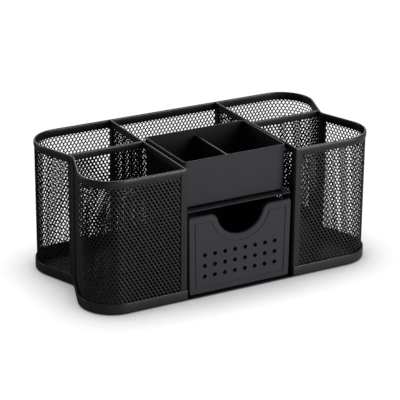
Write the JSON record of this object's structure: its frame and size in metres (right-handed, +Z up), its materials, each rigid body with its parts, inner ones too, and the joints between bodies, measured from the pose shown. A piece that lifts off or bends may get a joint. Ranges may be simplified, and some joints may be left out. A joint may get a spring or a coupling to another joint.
{
  "type": "desk organizer",
  "caption": "Mesh desk organizer with waisted ends: upright compartments round a middle bay that holds a pull-out drawer with a finger notch and, above it, a divided box.",
  "frame": {"origin": "on the table, under the middle of the organizer", "axes": "+X to the right along the front, the drawer opens towards -Y, +Z up"},
  "size_m": [0.2396, 0.126, 0.104],
  "materials": {
    "strip_coat": "satin black powder coat on folded sheet steel",
    "mesh_coat": "satin black powder coat on expanded diamond mesh",
    "drawer_plastic": "satin charcoal moulded plastic",
    "box_plastic": "satin charcoal moulded plastic",
    "foam": "black foam pad"
  },
  "bodies": {
    "stand": {"base_pan": "strip_coat", "foot_front_left": "foam", "foot_front_right": "foam", "foot_rear_left": "foam", "foot_rear_right": "foam", "rear_wall_mesh": "mesh_coat", "top_rim": "strip_coat", "front_wall_mesh_left": "mesh_coat", "front_post_left": "strip_coat", "joining_strip_left": "strip_coat", "cross_divider_frame_left": "strip_coat", "cross_divider_mesh_left": "mesh_coat", "side_divider_band_left": "strip_coat", "side_divider_mesh_left": "mesh_coat", "front_wall_mesh_right": "mesh_coat", "front_post_right": "strip_coat", "joining_strip_right": "strip_coat", "cross_divider_frame_right": "strip_coat", "cross_divider_mesh_right": "mesh_coat", "side_divider_band_right": "strip_coat", "side_divider_mesh_right": "mesh_coat", "shelf": "strip_coat", "bay_back_mesh": "mesh_coat"},
    "drawer": {"drawer": "drawer_plastic"},
    "upper_box": {"upper_box": "box_plastic"}
  },
  "joints": [
    {"name": "drawer_slide", "type": "slide", "parent": "stand", "child": "drawer", "axis": [0, -1, 0], "range_m": [0, 0.058]},
    {"name": "upper_box_lift", "type": "slide", "parent": "stand", "child": "upper_box", "axis": [0, 0, 1], "range_m": [0, 0.04]}
  ]
}
